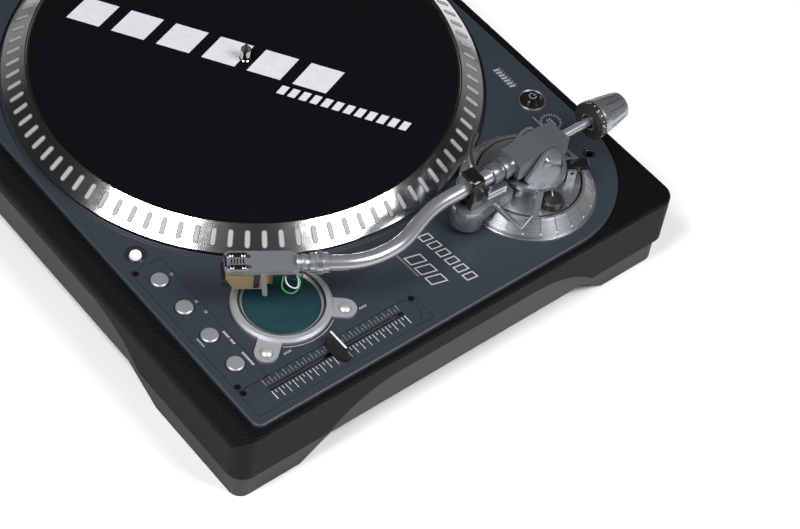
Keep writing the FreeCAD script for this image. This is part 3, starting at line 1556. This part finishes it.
def rod_between(name, start, end, radius):
    """A round rod from one point to another."""
    first = V(*[number(c) for c in start])
    way = V(*[number(c) for c in end]) - first
    made = doc.addObject("Part::Cylinder", name)
    bind(made, "Radius", radius)
    made.Height = way.Length
    made.Placement = FreeCAD.Placement(first, FreeCAD.Rotation(UP, way))
    return made


def make_bias_guide():
    """A flat blade from the cup's rim, a bent wire and the rod on the rest bracket that it hooks to."""
    blade = box(
        "bias_blade", ZERO, D["flange_radius"] - D["cup_radius"] - 4, ZERO - 2, ZERO + 2, ZERO, ZERO + 1.4)
    lean = FreeCAD.Rotation(UP, -50).multiply(FreeCAD.Rotation(ALONG_Y, 18))
    rim = D["cup_radius"] - 0.4
    start = (ARM_X + rim * 0.86, ARM_Y - rim * 0.51, D["cup_high"] - 2.6)
    blade.Placement = FreeCAD.Placement(V(*[c.value for c in start]), lean)
    for letter, size in zip("xyz", start):
        bind(blade, "Placement.Base." + letter, size)
    rod_y = ARM_Y + BIAS_ROD_Y
    rod_end = (ARM_X + 24, rod_y, BIAS_ROD_Z)
    rod_start = (ARM_X + D["rest_x"] + D["rest_radius"] - BIAS_ROD_GRIP, rod_y, BIAS_ROD_Z)
    rod = rod_between("bias_rod", rod_start, rod_end, BIAS_ROD_RADIUS)
    elbow = (ARM_X + 33, ARM_Y - 36, D["ring_high"] + 1)
    tip = (ARM_X + 31.2, ARM_Y - 25.6, D["ring_high"] + 6.0)
    wires = [
        rod_between("bias_wire_a", rod_end, elbow, ZERO + 0.6),
        rod_between("bias_wire_b", tip, elbow, ZERO + 0.6),
    ]
    keep(fused("bias_guide", [blade, rod] + wires))


# ---------------------------------------------------------------- tonearm

def make_yoke():
    inset = D["cup_wall"] + D["yoke_gap"]
    neck = D["cup_neck_radius"] - inset
    wide = D["cup_radius"] - inset
    bend = CUP_BEND + D["yoke_sink"]
    high = D["cup_high"] - D["yoke_sink"]
    roof = CUE_Z + D["yoke_gap"]
    run = D["yoke_pin_radius"] + D["running_gap"]
    low = CUP_FLOOR + D["yoke_gap"]
    item = body("arm_yoke")
    turn(item, "yoke_turn", [
        (run, low), (neck, low), (neck, bend), (wide, bend + D["cup_flare"]), (wide, high),
        (ZERO, high), (ZERO, roof), (run, roof)])
    inner = D["block_width"] / 2 + D["cheek_gap"]
    profile = [
        (ZERO - 12.4, D["cup_high"] - 2), (ZERO + 12.4, D["cup_high"] - 2), (ZERO + 14.5, D["cup_high"] + 2),
        (ZERO + 13, ARM_Z - 1), (ZERO + 7, ARM_Z + 8), (ZERO + 1.5, ARM_Z + 10.4), (ZERO - 3, ARM_Z + 9.6),
        (ZERO - 16.6, D["cup_high"] + 3.4)]
    thick = D["cheek_thickness"]
    for word, side in (("right", inner), ("left", -inner - thick)):
        pad(item, word + "_cheek", [profile], side, thick, "YZ_Plane")
    hole = ("circle", ZERO, ARM_Z, D["pivot_radius"])
    pocket(item, "pivot_holes", [hole], 0, inner * 4, "YZ_Plane", True)
    keep(place(item, ARM_X, ARM_Y))


def make_pivot_screws():
    face = D["block_width"] / 2 + D["cheek_gap"] + D["cheek_thickness"]
    screws = []
    for word, side, angle in (("right", 1, 90), ("left", -1, -90)):
        name = word + "_pivot_screw"
        seat = ARM_X + face * side
        head = cylinder(
            name + "_head", D["pivot_head_radius"], D["pivot_head_height"], seat, ARM_Y, ARM_Z, ALONG_Y, angle)
        start = ARM_X + (face - D["pivot_shank"]) * side
        shank = cylinder(name + "_shank", D["pivot_radius"], D["pivot_shank"], start, ARM_Y, ARM_Z, ALONG_Y, angle)
        whole = doc.addObject("Part::MultiFuse", name + "_whole")
        whole.Shapes = [head, shank]
        top = ARM_X + (face + D["pivot_head_height"]) * side
        deep = D["pivot_cross_depth"]
        long = D["pivot_cross_length"] / 2
        thin = D["pivot_cross_width"] / 2
        slot = box(
            name + "_slot", top - deep, top + deep, ARM_Y - long, ARM_Y + long, ARM_Z - thin, ARM_Z + thin)
        cross = box(
            name + "_cross", top - deep, top + deep, ARM_Y - thin, ARM_Y + thin, ARM_Z - long, ARM_Z + long)
        tools = doc.addObject("Part::MultiFuse", name + "_tools")
        tools.Shapes = [slot, cross]
        cut = doc.addObject("Part::Cut", name)
        cut.Base = whole
        cut.Tool = tools
        screws.append(cut)
    keep(grouped("pivot_screws", screws))


BLOCK_FRONT = -D["block_front"]
BLOCK_REAR = D["block_rear"]


def turn_along(item, name, profile):
    """Add to a body what a (radius, distance along +Y) profile makes about the arm's own axis."""
    made = sketch(item, name + "_sketch", "XY_Plane", ARM_Z)
    outline(made, profile)
    spun = item.newObject("PartDesign::Revolution", name)
    spun.Profile = made
    spun.ReferenceAxis = (made, ["V_Axis"])
    spun.Angle = 360
    return spun


def make_bearing_block():
    item = body("bearing_block")
    profile = [
        (BLOCK_FRONT, ARM_Z - 6.5), (BLOCK_FRONT + 9, ARM_Z - 7.5), (BLOCK_REAR - 8, ARM_Z - 7),
        (BLOCK_REAR, ARM_Z - 5.5), (BLOCK_REAR, ARM_Z + 8.4), (ZERO + 1, ARM_Z + 9.6),
        (BLOCK_FRONT, ARM_Z + 6)]
    pad(item, "block", [profile], 0, D["block_width"], "YZ_Plane", True)
    tube = D["tube_radius"]
    front = BLOCK_FRONT
    turn_along(item, "stepped_bush", [
        (tube, front - 17.4), (tube + 1.8, front - 17.4), (tube + 1.8, front - 11), (tube + 0.9, front - 11),
        (tube + 0.9, front - 8.5), (tube + 2.4, front - 8.5), (tube + 2.4, front - 4), (tube + 1.6, front - 4),
        (tube + 1.6, front + 1), (tube, front + 1)])
    pivot = ("circle", ZERO, ARM_Z, D["pivot_radius"] + D["running_gap"])
    pocket(item, "pivot_bore", [pivot], 0, D["block_width"] + 2, "YZ_Plane", True)
    doc.recompute()
    made = sketch(item, "shaft_bore_sketch", "XY_Plane", ARM_Z)
    outline(made, [(ZERO, BLOCK_REAR - D["shaft_grip"]), (D["shaft_radius"], BLOCK_REAR - D["shaft_grip"]),
                   (D["shaft_radius"], BLOCK_REAR + 1), (ZERO, BLOCK_REAR + 1)])
    groove = item.newObject("PartDesign::Groove", "shaft_bore")
    groove.Profile = made
    groove.ReferenceAxis = (made, ["V_Axis"])
    groove.Angle = 360
    doc.recompute()
    made = sketch(item, "tube_bore_sketch", "XY_Plane", ARM_Z)
    outline(made, [(ZERO, front - 20), (tube, front - 20), (tube, front + D["tube_grip"]),
                   (ZERO, front + D["tube_grip"])])
    groove = item.newObject("PartDesign::Groove", "tube_bore")
    groove.Profile = made
    groove.ReferenceAxis = (made, ["V_Axis"])
    groove.Angle = 360
    keep(place(item, ARM_X, ARM_Y))


def tube_route():
    """The tube's centre line in plan from the pivot: straight, a bend out, a bend in, straight."""
    out = D["bend_out_angle"]
    turn_in = D["offset_angle"]
    points = [(ZERO, BLOCK_FRONT + D["tube_grip"]), (ZERO, D["tube_straight_end"], D["bend_out_radius"])]
    wide = D["bend_out_radius"]
    x = wide - cosine(out) * wide
    y = D["tube_straight_end"] - sine(out) * wide
    points.append((x, y))
    x = x + sine(out) * D["bend_middle"]
    y = y - cosine(out) * D["bend_middle"]
    tight = D["bend_in_radius"]
    points.append((x, y, -tight))
    x = x - cosine(out) * tight + cosine(turn_in) * tight
    y = y - sine(out) * tight - sine(turn_in) * tight
    points.append((x, y))
    end = (x - sine(turn_in) * D["tube_tail"], y - cosine(turn_in) * D["tube_tail"])
    points.append(end)
    return points


TUBE_END = tube_route()[-1]


def make_arm_tube():
    item = body("arm_tube")
    ring = sketch(item, "tube_ring", "XZ_Plane", -(BLOCK_FRONT + D["tube_grip"]))
    circle(ring, ZERO, ARM_Z, D["tube_radius"])
    circle(ring, ZERO, ARM_Z, D["tube_radius"] - D["tube_wall"])
    path = sketch(item, "tube_path", "XY_Plane", ARM_Z)
    outline(path, tube_route(), closed=False)
    sweep = item.newObject("PartDesign::AdditivePipe", "tube_sweep")
    sweep.Profile = ring
    sweep.Spine = path
    keep(place(item, ARM_X, ARM_Y))


def place_at_shell(item, extra=0):
    """Put a piece built pointing along -Y at the end of the tube, turned inwards by the offset."""
    return place(item, ARM_X + TUBE_END[0], ARM_Y + TUBE_END[1], extra, DOWN, D["offset_angle"])


def make_collar_nut():
    item = body("collar_nut")
    run = D["tube_radius"] + D["running_gap"]
    turn_along(item, "nut_turn", [
        (run, ZERO - 8.5), (run + 1.3, ZERO - 8.5), (run + 1.3, ZERO - 5), (run + 2.2, ZERO - 4.4),
        (run + 2.2, ZERO - 0.4), (run + 1.3, ZERO), (run + 1.3, ZERO + 3.5), (run, ZERO + 3.5)])
    keep(place_at_shell(item))


def make_headshell():
    item = body("headshell")
    half = D["shell_width"] / 2
    start = -D["shell_start"]
    end = start - D["shell_length"]
    low = ARM_Z - 1.2
    corner = ZERO + 4
    plate = [
        (-half + corner, end), (half - corner, end, corner), (half, end + corner), (half, start - 6),
        (ZERO + 5, start), (ZERO - 5, start), (-half, start - 6), (-half, end + corner, corner)]
    pad(item, "shell_plate", [plate], low, D["shell_thickness"])
    neck = D["tube_radius"]
    turn_along(item, "shell_neck", [
        (ZERO, start - 3), (neck, start - 3), (neck, start + 0.4), (neck + 1, start + 0.4),
        (neck + 1, start + 3.4), (neck, start + 3.4), (neck, ZERO - 0.3), (ZERO, ZERO - 0.3)])
    slots = []
    for side in (-1, 1):
        middle = ZERO + 4.2 * side
        slots.append(rounded_box(middle - 1.3, middle + 1.3, end + 4, end + 17, ZERO + 1.2))
    pocket(item, "shell_slots", slots, low + D["shell_thickness"], D["shell_thickness"] + 1)
    lift_y = start - 24
    lift = rounded_box(half - 1, half + 17, lift_y - 1.6, lift_y + 1.6, ZERO + 1.4)
    pad(item, "finger_lift", [lift], low, ZERO + 1.3)
    keep(place_at_shell(item))


def make_cartridge():
    half = D["shell_width"] / 2 - 0.6
    end = -D["shell_start"] - D["shell_length"] + 1
    rear = end + D["cartridge_length"]
    high = ARM_Z - 1.2
    low = high - D["cartridge_height"]
    item = body("cartridge")
    profile = [
        (end, high), (end, high - 5), (end + 5, low), (rear - 2, low), (rear - 2, low + 5),
        (rear, low + 5), (rear, high)]
    pad(item, "cartridge_pad", [profile], 0, half * 2, "YZ_Plane", True)
    keep(place_at_shell(item))
    stylus = body("stylus")
    tip = D["stylus_low"]
    grip = [
        (end + 5, low), (end + 3.4, low - 1.6), (end + 4.6, tip + 0.6), (end + 5.2, tip),
        (end + 5.8, tip + 0.6), (end + 8, low - 1.8), (end + 15, low - 1.8), (end + 15, low)]
    pad(stylus, "stylus_pad", [grip], 0, half, "YZ_Plane", True)
    keep(place_at_shell(stylus))


def make_weight():
    shaft = D["shaft_radius"]
    run = D["running_gap"]
    front = D["weight_from_pivot"]
    rear = front + D["weight_length"]
    shaft_start = BLOCK_REAR - D["shaft_grip"]
    shaft_end = rear - D["shaft_inset"]
    pin = turned("rear_shaft", [
        (ZERO, shaft_start), (shaft, shaft_start), (shaft, shaft_end), (ZERO, shaft_end)])
    sleeve_start = front - D["sleeve_lead"]
    sleeve_end = rear - D["sleeve_inset"]
    sleeve = turned("weight_sleeve", [
        (shaft + run, sleeve_start), (D["sleeve_radius"], sleeve_start), (D["sleeve_radius"], sleeve_end),
        (shaft + run, sleeve_end)])
    bore = D["sleeve_radius"] + run
    nose = D["weight_nose_radius"]
    nose_start = front - D["weight_nose_length"]
    bevel = D["weight_bevel"]
    cap = rear - D["weight_cap"]
    weight = turned("counterweight", [
        (bore, nose_start), (nose, nose_start), (nose, front), (D["weight_radius"], front),
        (D["weight_radius"], front + D["weight_rim"]), (D["weight_end_radius"], rear - bevel),
        (D["weight_end_radius"] - bevel, rear), (ZERO, rear), (ZERO, cap), (bore, cap)])
    dial_rear = front - D["free_gap"]
    dial_front = dial_rear - D["dial_thickness"]
    dial = turned("force_dial", [
        (nose + run, dial_front), (D["weight_radius"] - D["dial_taper"], dial_front),
        (D["weight_radius"], dial_front + D["dial_face"]),
        (D["weight_radius"], dial_rear), (nose + run, dial_rear)])
    for item in (pin, sleeve, weight, dial):
        keep(place(item, ARM_X, ARM_Y, ARM_Z, ALONG_X, -90))


# ---------------------------------------------------------------- build, check and write

def build():
    make_base_tray()
    make_foot_pads()
    make_bottom_cover()
    make_plinth_shell()
    make_top_plate()
    make_panels()
    make_case_screws()
    make_fader()
    make_platter()
    make_drive()
    make_display()
    make_dome_buttons()
    make_panel_buttons()
    make_start_buttons()
    make_power()
    make_target_light()
    make_rear_panel()
    make_rear_connectors()
    make_electronics()
    make_arm_flange()
    make_height_ring()
    make_arm_base()
    make_cue_lever()
    make_bias_knob()
    make_rest_bracket()
    make_rest_clip()
    make_lift_bar()
    make_bias_guide()
    make_yoke()
    make_pivot_screws()
    make_bearing_block()
    make_arm_tube()
    make_collar_nut()
    make_headshell()
    make_cartridge()
    make_weight()


def check_and_write():
    doc.recompute()
    for item in doc.Objects:
        if "Invalid" in item.State or "Error" in item.State:
            raise ValueError(item.Name + " failed: " + str(item.State))
    os.makedirs("parts", exist_ok=True)
    for item in parts:
        shape = item.Shape
        if shape.isNull() or not shape.isValid() or not shape.Solids:
            raise ValueError(item.Label + " is not a valid solid")
    for item in parts:
        item.Shape.exportStep(f"parts/{item.Label}.step")
        size = item.Shape.BoundBox
        print(f"{item.Label:22s} solids {len(item.Shape.Solids):2d} "
              f"x {size.XMin:7.1f} {size.XMax:7.1f}  y {size.YMin:7.1f} {size.YMax:7.1f}  "
              f"z {size.ZMin:6.1f} {size.ZMax:6.1f}")
    print(len(parts), "nodes")


build()
check_and_write()
